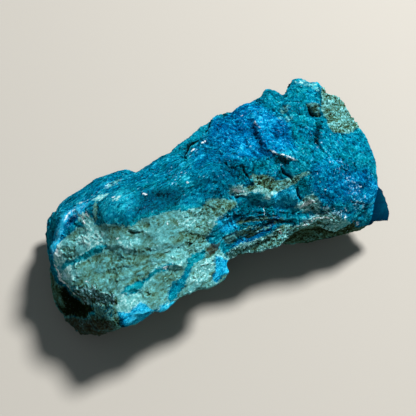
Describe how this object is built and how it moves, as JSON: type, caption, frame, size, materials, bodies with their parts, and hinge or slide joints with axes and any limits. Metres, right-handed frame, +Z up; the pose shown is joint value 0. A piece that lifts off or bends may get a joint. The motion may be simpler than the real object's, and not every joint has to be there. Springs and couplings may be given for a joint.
{
  "type": "chrysocolla specimen",
  "caption": "Rough natural lump of blue-green copper mineral with pale crust, ledges and clefts, resting on a flat broken face.",
  "frame": {"origin": "on the resting plane, under the middle of the stone's box", "axes": "+X along the stone to its broad end, +Y to its back, +Z up from the resting face"},
  "size_m": [0.1492, 0.078, 0.0574],
  "materials": {
    "stone": "rough broken stone, blue to blue-green with pale sage crust, a glassy teal patch and fine pale specks"
  },
  "bodies": {
    "root": {"chrysocolla_stone": "stone"}
  },
  "joints": []
}
